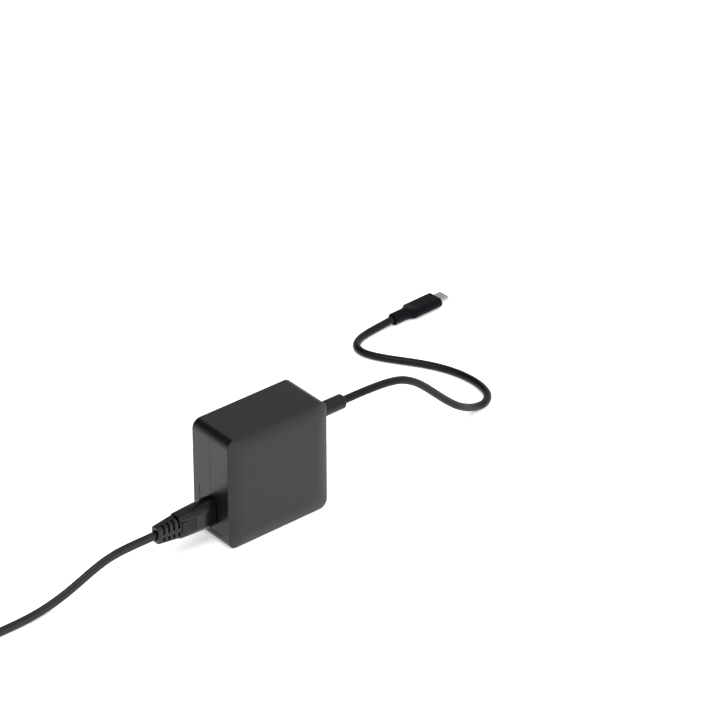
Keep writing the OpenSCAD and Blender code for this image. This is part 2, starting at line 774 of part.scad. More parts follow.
// Two flat blades with rounded corners and a hole near each tip
module wall_plug_blades() {
    color("#c9ccd0") for (s = [-1, 1])
        translate([plug_x + s * blade_pitch / 2 - 0.76, plug_y + plug_core - 9, plug_z] + lead_shift)
            rotate([90, 0, 90]) linear_extrude(1.52) difference() {
                translate([(9 + blade_len) / 2, 0]) rounded_rect(9 + blade_len, 6.36, 1.2);
                translate([9 + blade_len - 3.2, 0]) circle(d = 3.2, $fn = 32);
            }
}

front_cover();
rear_cover();
inlet_socket();
inlet_pins();
circuit_board();
fuse();
surge_suppressor();
filter_capacitor();
choke_core();
choke_winding();
bridge_rectifier();
bulk_capacitor();
transformer_core();
transformer_bobbin();
power_switch();
safety_capacitor();
output_capacitors();
rectifier_switch();
control_board();
control_chip();
rear_heat_spreader();
front_heat_spreader();
thermal_pads();
insulating_sheet();
output_wires();
output_boot();
output_cable();
usb_plug_grip();
usb_plug_shell();
usb_plug_contacts();
connector_grip();
connector_nose();
connector_sleeves();
mains_cord();
mains_coil();
cord_tie();
wall_plug_grip();
wall_plug_blades();
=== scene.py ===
import math

import bmesh
import bpy
from mathutils import Matrix, Vector


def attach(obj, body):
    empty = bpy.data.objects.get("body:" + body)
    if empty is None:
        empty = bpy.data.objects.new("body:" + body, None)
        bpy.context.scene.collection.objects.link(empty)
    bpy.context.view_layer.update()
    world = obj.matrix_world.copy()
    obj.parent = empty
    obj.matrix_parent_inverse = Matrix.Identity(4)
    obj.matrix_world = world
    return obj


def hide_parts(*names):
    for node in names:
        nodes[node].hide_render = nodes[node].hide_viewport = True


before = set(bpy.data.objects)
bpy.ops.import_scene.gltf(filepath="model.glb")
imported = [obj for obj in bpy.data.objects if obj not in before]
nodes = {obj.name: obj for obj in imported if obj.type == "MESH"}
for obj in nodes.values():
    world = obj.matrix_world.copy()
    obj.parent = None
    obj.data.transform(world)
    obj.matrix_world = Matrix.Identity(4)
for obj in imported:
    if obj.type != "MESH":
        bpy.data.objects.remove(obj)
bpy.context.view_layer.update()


# Camera: a long lens, so that the upright edges stay nearly parallel. It looks down at
# about 32 degrees from the inlet side, past the front face.
looking_down = 31.5765
heading = -39.908
camera_data = bpy.data.cameras.new("camera")
camera_data.sensor_width = 36.0
camera_data.lens = 185.2
camera_data.clip_start = 0.05
camera_data.clip_end = 50.0
camera = bpy.data.objects.new("camera", camera_data)
camera.location = (-0.99200, -1.26659, 1.08429)
camera.rotation_euler = (math.radians(90.0 - looking_down), 0.0, math.radians(heading))
bpy.context.collection.objects.link(camera)
bpy.context.scene.camera = camera


# Small plug: a reversible plug. Its matt plastic grip swells from a round neck with a sunk
# ring for the cable, and is moulded over a shell of plated steel. Each station is a
# distance along it, then a width, a height and a corner radius, in millimetres.
plug_rear = (0.17815, 0.10395, 0.0036)
plug_turn = 2.0
plug_stations = [
    (0, 6.5, 6.5, 3.24), (0.12, 6.9, 6.9, 3.44), (0.4, 7.2, 7.2, 3.59), (8.3, 7.2, 7.2, 3.59),
    (9.3, 7.45, 7.17, 3.57), (10.3, 8, 7.1, 3.54), (11.2, 8.8, 7, 3.49), (12, 9.8, 6.88, 3.43),
    (12.6, 10.8, 6.7, 3.34), (13.1, 11.6, 6.52, 3.25), (13.6, 12.15, 6.35, 3.16),
    (14.1, 12.36, 6.18, 3.08), (14.8, 12.4, 6, 2.99), (15.6, 12.4, 5.86, 2.92),
    (16.5, 12.4, 5.8, 2.89), (32.7, 12.4, 5.8, 2.89), (33.05, 12.25, 5.65, 2.81),
    (33.35, 11.9, 5.3, 2.64), (33.5, 11.4, 4.8, 2.39),
]
plug_ring_radius = 2.8
plug_ring_from = -1.0
plug_ring_length = 2.2
shell_seat = [(30, 8.4, 2.62, 1.3), (35, 8.4, 2.62, 1.3)]
shell_stations = [
    (31.5, 8.34, 2.56, 1.27), (39.98, 8.34, 2.56, 1.27), (40.1, 8.28, 2.5, 1.24),
    (40.15, 8.16, 2.38, 1.18),
]
shell_hollow = [(31, 7.74, 1.96, 0.97), (39.95, 7.74, 1.96, 0.97), (40.3, 8.16, 2.38, 1.18)]
facing_x = Matrix(((0, 0, 1, 0), (1, 0, 0, 0), (0, 1, 0, 0), (0, 0, 0, 1)))
plug_place = (Matrix.Translation(plug_rear) @ Matrix.Rotation(math.radians(plug_turn), 4, "Z")
              @ facing_x)


def outline(mesh, width, height, radius, place, steps):
    """A flat rounded rectangle, in millimetres; its corners are true arcs."""
    sized = place @ Matrix.Diagonal((width / 1000, height / 1000, 1, 1))
    made = bmesh.ops.create_grid(mesh, x_segments=1, y_segments=1, size=0.5, matrix=sized)
    rounded = bmesh.ops.bevel(mesh, geom=made["verts"], offset=radius / 1000,
                              offset_type="OFFSET", affect="VERTICES", segments=steps,
                              profile=0.5, material=-1)
    return rounded["verts"][0].link_faces[0]


def bridge(mesh, faces):
    """Joins flat faces that follow one another into one closed body."""
    for a, b in zip(faces, faces[1:]):
        bmesh.ops.bridge_loops(mesh, edges=a.edges[:] + b.edges[:])
    bmesh.ops.delete(mesh, geom=faces[1:-1], context="FACES_ONLY")
    bmesh.ops.recalc_face_normals(mesh, faces=mesh.faces)
    return mesh


def skin(place, stations, steps=8, mesh=None):
    """A closed body through rounded rectangles that follow one another along the place's Z.
    It goes into a new mesh, or joins what is in the given one."""
    mesh = mesh or bmesh.new()
    return bridge(mesh, [
        outline(mesh, *station[1:], place @ Matrix.Translation((0, 0, station[0] / 1000)), steps)
        for station in stations])


def rod(place, radius, length, sides=48, mesh=None, tip_radius=None):
    """A cylinder along the place's Z, or a cone if its tip has another radius, in
    millimetres."""
    mesh = mesh or bmesh.new()
    bmesh.ops.create_cone(mesh, cap_ends=True, segments=sides, radius1=radius / 1000,
                          radius2=(tip_radius or radius) / 1000, depth=length / 1000,
                          matrix=place @ Matrix.Translation((0, 0, length / 2000)))
    return mesh


def solid(name, mesh):
    """An object of its own from a mesh."""
    data = bpy.data.meshes.new(name)
    mesh.to_mesh(data)
    mesh.free()
    piece = bpy.data.objects.new(name, data)
    bpy.context.collection.objects.link(piece)
    return piece


def settle(piece):
    """Applies a piece's modifiers."""
    graph = bpy.context.evaluated_depsgraph_get()
    made = bpy.data.meshes.new_from_object(piece.evaluated_get(graph),
                                           preserve_all_data_layers=True, depsgraph=graph)
    piece.modifiers.clear()
    piece.data = made


def carve(piece, mesh, operation="DIFFERENCE", crossing=False):
    """Cuts the tool mesh out of a piece, or joins it to the piece. Crossing is for a tool
    whose own parts run through one another."""
    tool = solid("tool", mesh)
    step = piece.modifiers.new("carve", "BOOLEAN")
    step.operation = operation
    step.solver = "EXACT"
    step.use_self = crossing
    step.object = tool
    settle(piece)
    bpy.data.objects.remove(tool)


def smooth(piece, angle=30.0):
    """Smooth shading but for edges sharper than the angle; large faces keep their normal."""
    piece.data.shade_smooth()
    piece.data.set_sharp_from_angle(angle=math.radians(angle))
    weigh = piece.modifiers.new("weigh", "WEIGHTED_NORMAL")
    weigh.keep_sharp = True
    weigh.weight = 100
    settle(piece)


def shader_node(tree, kind, sockets, **settings):
    """A new shader node. Each socket named gets a value, or a link from another node."""
    made = tree.nodes.new("ShaderNode" + kind)
    for setting, value in settings.items():
        setattr(made, setting, value)
    for socket, value in sockets.items():
        if isinstance(value, bpy.types.NodeSocket):
            tree.links.new(value, made.inputs[socket])
        else:
            made.inputs[socket].default_value = value
    return made


def surface(name, color, roughness, metallic=0.0, grain=4500.0, bump=0.05, spread=0.03,
            shift=0.07, ior=1.5, stretch=(1.0, 1.0, 1.0)):
    """A material with a fine relief, whose gloss and shade drift a little from place to
    place as they do on a made and handled thing. The relief can be stretched along an axis."""
    relief_depth, relief_detail = 0.0001, 2.0
    drift_scale, drift_detail = 90.0, 3.0
    drift_low, drift_high = 0.3, 0.7
    material = bpy.data.materials.new(name)
    material.use_nodes = True
    tree = material.node_tree
    shader = tree.nodes["Principled BSDF"]
    shader.inputs["IOR"].default_value = ior
    shader.inputs["Metallic"].default_value = metallic
    place = shader_node(tree, "TexCoord", {}).outputs["Object"]
    scaled = shader_node(tree, "Mapping", {"Vector": place, "Scale": stretch})
    fine = shader_node(tree, "TexNoise", {"Vector": scaled.outputs["Vector"], "Scale": grain,
                                          "Detail": relief_detail})
    relief = shader_node(tree, "Bump", {"Strength": bump, "Distance": relief_depth,
                                        "Height": fine.outputs["Fac"]}, name="relief")
    drift = shader_node(tree, "TexNoise", {"Vector": place, "Scale": drift_scale,
                                           "Detail": drift_detail}).outputs["Fac"]
    gloss = shader_node(tree, "MapRange", {
        "Value": drift, "From Min": drift_low, "From Max": drift_high,
        "To Min": roughness - spread, "To Max": roughness + spread})
    shade = shader_node(tree, "Mix", {
        "Factor": drift, "A": (*((1 - shift) * c for c in color), 1.0),
        "B": (*((1 + shift) * c for c in color), 1.0)}, name="shade", data_type="RGBA")
    tree.links.new(relief.outputs["Normal"], shader.inputs["Normal"])
    tree.links.new(gloss.outputs["Result"], shader.inputs["Roughness"])
    tree.links.new(shade.outputs["Result"], shader.inputs["Base Color"])
    return material


def finish(piece, material, body, slot, *replaced):
    """Gives a piece its material and its body, and hides the solids that it stands for. Its slot
    is not used.
    """
    piece.data.materials.append(material)
    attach(piece, body)
    if replaced:
        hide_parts(*replaced)


def dress(material, *names):
    """Gives solids their material."""
    for name in names:
        nodes[name].material_slots[0].material = material


plug_grip = solid("small_plug_grip", skin(plug_place, plug_stations, 10))
carve(plug_grip, rod(plug_place @ Matrix.Translation((0, 0, plug_ring_from / 1000)),
                     plug_ring_radius, plug_ring_length))
carve(plug_grip, skin(plug_place, shell_seat))
smooth(plug_grip)
finish(plug_grip, surface("plug_plastic", (0.0022, 0.0028, 0.0052), 0.42, ior=1.2),
       "adapter", "plug_plastic", "usb_plug_grip")

plug_shell = solid("small_plug_shell", skin(plug_place, shell_stations, 12))
carve(plug_shell, skin(plug_place, shell_hollow, 12))
smooth(plug_shell)
plated_steel = surface("plated_steel", (0.58, 0.58, 0.60), 0.26, metallic=1.0, grain=9000.0,
                       bump=0.04, stretch=(0.05, 1.0, 1.0))
finish(plug_shell, plated_steel, "adapter", "plated_steel", "usb_plug_shell")
dress(surface("contact_carrier", (0.012, 0.012, 0.013), 0.45), "usb_plug_contacts")


# Low-voltage cable: stranded copper in a round satin jacket, 4.4 mm thick. It leaves its
# strain relief level, falls to the table in one arch and lies there in an open S.
cable_diameter = 0.0044
cable_points = [
    (0.0551, 0.0, 0.0491), (0.063, 0.0, 0.0491), (0.072, 0.0, 0.0489), (0.080, 0.0, 0.0485),
    (0.088, 0.0, 0.0476), (0.095, 0.0, 0.0460), (0.101, 0.0, 0.0433), (0.107, 0.0, 0.0394),
    (0.113, 0.0, 0.0343), (0.119, 0.0, 0.0286), (0.125, 0.0, 0.0228), (0.131, 0.0, 0.0174),
    (0.1365, 0.0003, 0.0130), (0.142, 0.0015, 0.0093), (0.148, 0.0031, 0.0058),
    (0.155, 0.0046, 0.0030), (0.1613, 0.0059, 0.0022), (0.16745, 0.0105, 0.0022),
    (0.1704, 0.0172, 0.0022), (0.1715, 0.0247, 0.0022), (0.1711, 0.0326, 0.0022),
    (0.16945, 0.0406, 0.0022), (0.1666, 0.04865, 0.0022), (0.16285, 0.05605, 0.0022),
    (0.1585, 0.0630, 0.0022), (0.1536, 0.0701, 0.0022), (0.14905, 0.07705, 0.0022),
    (0.1454, 0.0841, 0.0022), (0.1440, 0.08965, 0.0022), (0.1454, 0.0961, 0.0022),
    (0.1510, 0.1008, 0.0022), (0.1581, 0.1030, 0.0022), (0.16475, 0.1037, 0.0025),
    (0.1714, 0.10375, 0.0031), (0.17815, 0.10395, 0.0036), (0.17935, 0.10399, 0.0036),
]


cable_line = bpy.data.curves.new("low_voltage_cable", "CURVE")
cable_line.dimensions = "3D"
cable_line.resolution_u = 6
spline = cable_line.splines.new("BEZIER")
spline.bezier_points.add(len(cable_points) - 1)
for knot, point in zip(spline.bezier_points, cable_points):
    knot.co = point
    knot.handle_left_type = knot.handle_right_type = "AUTO"
cable_line.bevel_depth = cable_diameter / 2
cable_line.bevel_resolution = 6
cable_line.use_fill_caps = True
cable = bpy.data.objects.new("low_voltage_cable", cable_line)
bpy.context.collection.objects.link(cable)
cable_jacket = surface("cable_jacket", (0.0040, 0.0045, 0.0065), 0.36, spread=0.04, ior=1.33)
finish(cable, cable_jacket, "adapter", "cable_jacket", "output_cable")


# Strain relief: a round sleeve of smooth soft rubber moulded onto the cable. Its flange sits
# behind the right side wall and its tip is rounded.
outlet = Matrix.Translation((0.0291, 0, 0.0491)) @ facing_x
boot_radius = 4.25
boot_tip_radius = 4.12
boot_length = 26.0
boot_round = 0.75
boot_sides = 96
flange_reach = 1.5
flange_thickness = 1.6
mesh = rod(outlet, boot_radius, boot_length, boot_sides, tip_radius=boot_tip_radius)
tip = max(mesh.faces, key=lambda face: face.calc_center_median().x)
bmesh.ops.bevel(mesh, geom=tip.edges[:], offset=boot_round / 1000, offset_type="OFFSET",
                affect="EDGES", segments=8, profile=0.5, material=-1)
boot = solid("strain_relief", mesh)
carve(boot, rod(outlet, boot_radius + flange_reach, flange_thickness, boot_sides), "UNION")
smooth(boot)
finish(boot, surface("boot_rubber", (0.0045, 0.0045, 0.0052), 0.32, ior=1.42),
       "adapter", "boot_rubber", "output_boot")


# Mains connector: a figure-8 appliance connector moulded in vinyl, pushed into its socket.
# A thumb pad stands proud on each side, staggered slots let its tail bend, and the cord
# enters through a sunk ring. Its stations run from its face back to the cord.
socket_mouth = Matrix.Translation((-0.0330, 0, 0.018))
facing_back = Matrix(((0, 0, -1, 0), (-1, 0, 0, 0), (0, 1, 0, 0), (0, 0, 0, 1)))
collar = [(0, 8.9, 16.1, 3.9), (0.15, 9.25, 16.5, 4.05), (0.5, 9.5, 16.9, 4.15)]
body_stations = [
    (1.2, 9.65, 17, 4.25), (3.5, 10.15, 17, 4.6), (6, 10.5, 16.65, 4.9), (9, 10.7, 16, 4.8),
    (13, 10.4, 15.1, 4.1), (15, 10.1, 14.7, 3.7), (18, 9.5, 14, 2.96), (20.5, 9, 13.4, 2.38),
    (22.6, 8.5, 12.85, 1.85),
]
relief_stations = [
    (22.8, 8.45, 12.7, 1.8), (22.95, 8.3, 12.5, 1.8), (23.1, 8.1, 12.3, 2.1),
    (23.3, 8, 12.2, 2.2), (35.3, 6, 9.72, 1.6), (35.65, 5.9, 9.6, 1.55), (35.9, 5.6, 9.3, 1.4),
]
connector_length = 35.9
cord_ring = [(connector_length - 1.2, 4, 6.2, 1.99), (connector_length + 1, 4, 6.2, 1.99)]
nose_hollow = [(-1, 8.5, 15.5, 4.24), (6, 8.5, 15.5, 4.24)]
pad_face = 5.05
pad_middle = (-17.6, 0.45)
pad_stations = [(3, 8.8, 6.9, 0.25), (pad_face - 0.08, 8.8, 6.9, 0.25),
                (pad_face, 8.64, 6.74, 0.2)]
pad_pocket = [(pad_face - 0.1, 8.84, 6.94, 0.25), (8, 8.84, 6.94, 0.25)]
slot_count = 4
slot_first = 22.95
slot_pitch = 3.0
slot_width = 1.2
slot_depth = 1.3
first_slot_reach = 0.6
slot_reach = -0.8
long_slot_start = 0.9
long_slot_shift = 0.1
short_slot_start = -1.4
short_slot_length = 2.5
short_slot_shrink = 0.2
tail_start = 23.2
tail_length = 12.3
tail_half = (4, 6.1)
tail_narrowing = (1, 1.25)
beyond = 8


def eased(stations, count=4):
    """More stations between the given ones, on a smooth line through them."""
    knots = [Vector(s) for s in stations]
    slopes = []
    for i in range(len(knots)):
        behind, ahead = knots[max(i - 1, 0)], knots[min(i + 1, len(knots) - 1)]
        slopes.append((ahead - behind) / (ahead[0] - behind[0]))
    finer = []
    for a, b, slope_a, slope_b in zip(knots, knots[1:], slopes, slopes[1:]):
        gap = b[0] - a[0]
        for t in (step / count for step in range(count)):
            finer.append(a * (2 * t**3 - 3 * t**2 + 1) + b * (3 * t**2 - 2 * t**3)
                         + (slope_a * (t**3 - 2 * t**2 + t) + slope_b * (t**3 - t**2)) * gap)
    return finer + [knots[-1]]


def block(place, low, high, mesh):
    """A box between two corners, in millimetres."""
    size = (Vector(high) - Vector(low)) / 1000
    middle = (Vector(high) + Vector(low)) / 2000
    bmesh.ops.create_cube(mesh, size=1.0, matrix=place @ Matrix.Translation(middle)
                          @ Matrix.Diagonal((*size, 1)))


connector_place = socket_mouth @ facing_back
connector = solid("mains_connector", skin(
    connector_place, collar + eased(body_stations, 3) + relief_stations))
pad_place = Matrix.Translation((pad_middle[0] / 1000, 0, pad_middle[1] / 1000)) @ Matrix(
    ((1, 0, 0, 0), (0, 0, -1, 0), (0, 1, 0, 0), (0, 0, 0, 1)))
sides = [socket_mouth @ Matrix.Rotation(turn, 4, "X") for turn in (0.0, math.pi)]
for operation, stations in (("DIFFERENCE", pad_pocket), ("UNION", pad_stations)):
    mesh = bmesh.new()
    for side in sides:
        skin(side @ pad_place, stations, 3, mesh)
    carve(connector, mesh, operation)

# Each long slot runs along a face and round its edge, and a short one lies beyond the
# middle. The other face has the same pair turned half round.
mesh = bmesh.new()
for i in range(slot_count):
    near = slot_first + slot_pitch * i
    along = max(near - tail_start, 0) / tail_length
    half_y, half_z = (half - less * along for half, less in zip(tail_half, tail_narrowing))
    outside, slot_floor = -half_y - 1, slot_depth - half_y
    long_start = long_slot_start - long_slot_shift * i
    short_length = short_slot_length - short_slot_shrink * i
    reach = first_slot_reach if i == 0 else slot_reach
    for side in sides:
        for low, high in (
                ((outside, long_start), (slot_floor, beyond)),
                ((outside, half_z - slot_depth), (reach, beyond + 0.0001)),
                ((outside, short_slot_start - short_length), (slot_floor, short_slot_start))):
            block(side, (-near - slot_width, *low), (-near, *high), mesh)
carve(connector, mesh, crossing=True)
carve(connector, skin(connector_place, cord_ring))
carve(connector, skin(connector_place, nose_hollow, 12))
smooth(connector)

vinyl = (0.0035, 0.0035, 0.0038)
lead_vinyl = surface("lead_vinyl", vinyl, 0.24, ior=1.48)
finish(connector, lead_vinyl, "mains_lead", "lead_rubber", "connector_grip")
connector.data.materials.append(
    surface("pad_grain", vinyl, 0.45, grain=2200.0, bump=0.4, ior=1.42))
for face in connector.data.polygons:
    level = abs(face.normal.y) > 0.9999
    on_pad = abs(abs(face.center.y) - pad_face / 1000) < 1e-6
    face.material_index = int(level and on_pad)
brass = surface("brass", (0.60, 0.43, 0.19), 0.28, metallic=1.0, grain=7000.0, bump=0.05,
                shift=0.12, stretch=(0.05, 1.0, 1.0))
dress(surface("hard_insulator", (0.0040, 0.0040, 0.0042), 0.36), "connector_nose")
dress(brass, "connector_sleeves")


# Wall plug: a two-blade plug, moulded in the same vinyl onto the far end of the mains lead,
# with finger grooves on both flat sides. It lies beside the coil, and its stations run from
# the cord to the blades.
wall_plug_place = Matrix.Translation((-0.2230, 0.048, 0.0085))
facing_y = Matrix(((-1, 0, 0, 0), (0, 0, 1, 0), (0, 1, 0, 0), (0, 0, 0, 1)))
wall_plug_neck = [(0, 6.4, 5, 2.4), (0.4, 6.9, 5.4, 2.6)]
wall_plug_stations = [
    (1, 7.2, 5.6, 2.7), (7, 8.8, 7.1, 2.95), (13, 10.4, 8.6, 3.2), (16, 13, 10.4, 3.6),
    (19, 17.5, 13, 4), (23, 21.4, 15.2, 4.2), (28, 23.8, 16.5, 4.2), (34, 25, 17, 4),
    (40, 25, 17, 4), (44.8, 24.95, 16.95, 4),
]
wall_plug_face = [(45.3, 24.7, 16.7, 3.9), (45.75, 24.2, 16.2, 3.6), (46, 23.4, 15.4, 3.3)]
groove_count = 4
groove_first = 29
groove_pitch = 3.2
groove_width = 1.3
groove_half = 6
groove_levels = (-9.6, 7.8)
groove_height = 1.8
blade_sides = (-6.35, 6.35)
blade_half = (0.76, 3.18)
blade_run = (37, 47)
wall_plug = solid("wall_plug", skin(
    wall_plug_place @ facing_y, wall_plug_neck + eased(wall_plug_stations, 3) + wall_plug_face))
mesh = bmesh.new()
for i in range(groove_count):
    near = groove_first + groove_pitch * i
    for level in groove_levels:
        block(wall_plug_place, (-groove_half, near, level),
              (groove_half, near + groove_width, level + groove_height), mesh)
for side in blade_sides:
    block(wall_plug_place, (side - blade_half[0], blade_run[0], -blade_half[1]),
          (side + blade_half[0], blade_run[1], blade_half[1]), mesh)
carve(wall_plug, mesh)
smooth(wall_plug)
finish(wall_plug, lead_vinyl, "mains_lead", "lead_rubber", "wall_plug_grip")
dress(surface("plated_brass", (0.46, 0.46, 0.46), 0.24, metallic=1.0, grain=6000.0, bump=0.05,
              stretch=(1.0, 0.05, 1.0)), "wall_plug_blades")


# Tie: a flat plastic-coated wire wrapped round the coiled cord, its ends twisted together on
# the outside. It stands across the coil an eighth of a turn from where the cord comes in.
coil_center = (-0.192, 0.031)
coil_radius = 0.031
coil_pitch = 0.0037
coil_turns = 5.25
coil_start = -90
coil_layers = (0.0030, 0.0085)
tie_turn = 0.125
tie_thickness = 0.5
tie_gap_inside = 2.0
tie_gap_outside = 1.65
turns_in = min(tie_turn + 2, coil_turns - tie_turn - 2)
tie_inner = 1000 * (coil_radius - coil_pitch * turns_in) - tie_gap_inside
tie_outer = 1000 * (coil_radius - coil_pitch * tie_turn) + tie_gap_outside
tie_top = 11.15
tie_span = tie_outer - tie_inner
tie_round = 1.2
tie_round_inside = 0.7
tie_edges = ((-2, 0.2), (-1.9, 0), (1.9, 0), (2, 0.2))
twist_steps = 36
twist_angle = 15.0
twist_length = 11
twist_section = (3, 0.9, 0.3)
tie_place = (Matrix.Translation((*coil_center, 0))
             @ Matrix.Rotation(math.radians(coil_start - 360 * tie_turn), 4, "Z")
             @ Matrix.Translation(((tie_inner + tie_outer) / 2000, 0,
                                   (tie_top + tie_thickness) / 2000)))
band_place = tie_place @ Matrix(((1, 0, 0, 0), (0, 0, 1, 0), (0, -1, 0, 0), (0, 0, 0, 1)))
tie = solid("cord_tie_band", skin(band_place, [
    (along, tie_span + 1 - trim, tie_top + tie_thickness - trim, tie_round - trim / 2)
    for along, trim in tie_edges], 6))
carve(tie, skin(band_place, [(along, tie_span, tie_top - tie_thickness, tie_round_inside)
                             for along in (-3, 3)], 6))
twist_place = tie_place @ Matrix.Translation(((tie_span + tie_thickness) / 2000, 0, 0)) @ facing_x
mesh = bmesh.new()
twists = []
for i in range(twist_steps + 1):
    moved = Matrix.Translation((0, 0, twist_length * i / (twist_steps * 1000)))
    turned = Matrix.Rotation(math.radians(twist_angle * i), 4, "Z")
    twists.append(outline(mesh, *twist_section, twist_place @ moved @ turned, 3))
carve(tie, bridge(mesh, twists), "UNION")
smooth(tie, 40.0)
finish(tie, surface("tie_plastic", (0.016, 0.016, 0.017), 0.42),
       "mains_lead", "tie_plastic", "cord_tie")


# Mains cord: two stranded cores side by side in flat vinyl, 5 by 3 mm, standing on edge. It
# falls from the connector to the table and is wound into a coil whose turns run in, climb
# one layer and run out again. At the wall plug it rolls over, to lie flat as the plug does.
cord_width = 0.0050
cord_thickness = 0.0030
cord_points = [
    (-0.0677, 0.0, 0.018), (-0.076, 0.0, 0.018), (-0.084, 0.0, 0.018), (-0.092, 0.0, 0.0177),
    (-0.100, 0.0, 0.0165), (-0.108, 0.0, 0.0141), (-0.116, 0.0, 0.0110), (-0.124, 0.0, 0.0080),
    (-0.132, 0.0, 0.0056), (-0.140, 0.0, 0.0039), (-0.148, 0.0, 0.0029), (-0.156, 0.0, 0.0025),
    (-0.164, 0.0, 0.0025), (-0.172, 0.0, 0.0026), (-0.180, 0.0, 0.0028), (-0.187, 0.0, 0.003),
]
climb_turns = 0.5
rings_per_turn = 48
end_side = -0.2230
end_level = 0.0085
end_steps = (0.001, 0.003, 0.005, 0.007, 0.009, 0.011, 0.013, 0.017)
end_rolls = [0, 8, 20, 34, 50, 66, 80, 90]


def coil_point(turn):
    """The cord's middle after so many turns of the coil."""
    climb = min(max((turn - coil_turns / 2) / climb_turns + 0.5, 0.0), 1.0)
    climb = climb * climb * (3 - 2 * climb)
    radius = coil_radius - coil_pitch * min(turn, coil_turns - turn)
    angle = math.radians(coil_start - 360 * turn)
    return (coil_center[0] + radius * math.cos(angle), coil_center[1] + radius * math.sin(angle),
            coil_layers[0] + (coil_layers[1] - coil_layers[0]) * climb)


coil_points = [coil_point(i / rings_per_turn) for i in range(int(coil_turns * rings_per_turn) + 1)]
end_points = [(end_side, coil_center[1] + step, end_level) for step in end_steps]
lead_path = cord_points + coil_points + end_points
lead_rolls = [0.0] * (len(cord_points) + len(coil_points)) + end_rolls


def flat_cord(name, path, rolls, width, thickness, steps=6):
    """A tube whose section is two round cores side by side, swept along a smooth line
    through the path. The rolls turn it there, in degrees."""
    travel = [0.0]
    for a, b in zip(path, path[1:]):
        travel.append(travel[-1] + (Vector(b) - Vector(a)).length)
    line = eased([(t, *point, roll) for t, point, roll in zip(travel, path, rolls)], 3)
    flank = (width - thickness) / 2
    section = []
    for end in (1, -1):
        for step in range(steps + 1):
            angle = math.pi * step / steps + (0 if end > 0 else math.pi)
            section.append((thickness / 2 * math.cos(angle),
                            end * flank + thickness / 2 * math.sin(angle)))
    mesh = bmesh.new()
    rings = []
    for behind, here, ahead in zip([line[0]] + line, line, line[1:] + [line[-1]]):
        along = Vector((ahead - behind)[1:4]).normalized()
        across = along.cross(Vector((0, 0, 1))).normalized()
        up = across.cross(along)
        turn = math.radians(here[4])
        side = across * math.cos(turn) + up * math.sin(turn)
        tall = up * math.cos(turn) - across * math.sin(turn)
        rings.append([mesh.verts.new(Vector(here[1:4]) + side * u + tall * v)
                      for u, v in section])
    for a, b in zip(rings, rings[1:]):
        for i in range(len(section)):
            j = (i + 1) % len(section)
            mesh.faces.new((a[i], a[j], b[j], b[i]))
    mesh.faces.new(rings[0][::-1])
    mesh.faces.new(rings[-1])
    bmesh.ops.recalc_face_normals(mesh, faces=mesh.faces)
    return solid(name, mesh)


mains_cord = flat_cord("mains_lead_cord", lead_path, lead_rolls, cord_width, cord_thickness)
smooth(mains_cord, 35.0)
finish(mains_cord, surface("cord_vinyl", (0.0045, 0.0045, 0.0048), 0.33, ior=1.45),
       "mains_lead", "lead_rubber", "mains_cord", "mains_coil")


# Covers: two shells moulded in black polycarbonate with a fine satin grain, each with a
# cushion-shaped face. They are welded along the seam in the middle of the side walls, and
# posts inside them clamp the board.
body_width = 65.4
body_height = 66.0
rim = 14.5
rim_round = 0.3
rim_steps = 4
seam = 0.1
seam_edge = 0.08
crown = 1.8
crown_width = 9.0
crown_steps = 14
corner = 5.0
corner_growth = 0.45
wall = 2.0
inlet_opening = (19.12, 24.52, 1.26)
post_radius = 2
post_places = [(x, z) for x in (-25.5, 24.3) for z in (6.0, 60.5)]
front_post_start, front_post_length = 0.5 - rim, rim + 7.5
rear_post_start, rear_post_length = 9.6, rim - 10.1
front_ribs = [((-29.5, 0.5 - rim, 12), (-28, -7, 24)), ((27.6, 0.5 - rim, 44.1), (29.1, -4, 54.1))]
rear_ribs = [((-29.5, 7, 12), (-28, rim - 0.5, 24))]
upright = Matrix(((1, 0, 0, 0), (0, 0, -1, 0), (0, 1, 0, 0), (0, 0, 0, 1)))
inlet = Matrix.Translation((0, 0, 0.018)) @ facing_x


def cover(name, side):
    """One cover: side wall, soft rim, arched border and flat middle, hollow inside, with the
    openings for the inlet and the strain relief."""
    bow = (crown_width ** 2 + crown ** 2) / (2 * crown)
    slope = math.asin(crown_width / bow)
    reach = rim_round / math.tan(math.pi / 4 + slope / 2)
    levels = [(seam_edge, seam / 2), (0.0, seam / 2 + seam_edge)]
    for step in range(rim_steps + 1):
        angle = math.pi - (math.pi / 2 - slope) * step / rim_steps
        levels.append((rim_round * (1 + math.cos(angle)),
                       rim - reach + rim_round * math.sin(angle)))
    for step in range(1, crown_steps + 1):
        angle = slope * (1 - step / crown_steps)
        levels.append((crown_width - bow * math.sin(angle),
                       rim + crown - bow * (1 - math.cos(angle))))
    middle = Matrix.Translation((0, 0, body_height / 2000)) @ upright
    mesh = skin(middle, [
        (away, body_width - 2 * inset, body_height - 2 * inset, corner + corner_growth * inset)
        for inset, away in levels], 12)
    if side > 0:
        bmesh.ops.scale(mesh, vec=(1, -1, 1), verts=mesh.verts)
        bmesh.ops.reverse_faces(mesh, faces=mesh.faces)
    piece = solid(name, mesh)
    carve(piece, skin(middle, [
        (-side * away, body_width - 2 * wall, body_height - 2 * wall, corner - wall)
        for away in (-2, rim - 1)], 6))
    mesh = skin(inlet, [(x, *inlet_opening)
                        for x in (-body_width / 2 - 1, -body_width / 2 + wall + 1)], 6)
    carve(piece, rod(outlet, boot_radius, 6, boot_sides, mesh))
    return piece


def posts(piece, start, length, ribs):
    """Joins the posts that clamp the board, and the ribs behind the flanges, to a cover."""
    mesh = bmesh.new()
    for x, z in post_places:
        place = Matrix.Translation((x / 1000, start / 1000, z / 1000)) @ upright
        rod(place @ Matrix.Rotation(math.pi, 4, "X"), post_radius, length, 24, mesh)
    for low, high in ribs:
        block(Matrix.Identity(4), low, high, mesh)
    carve(piece, mesh, "UNION")


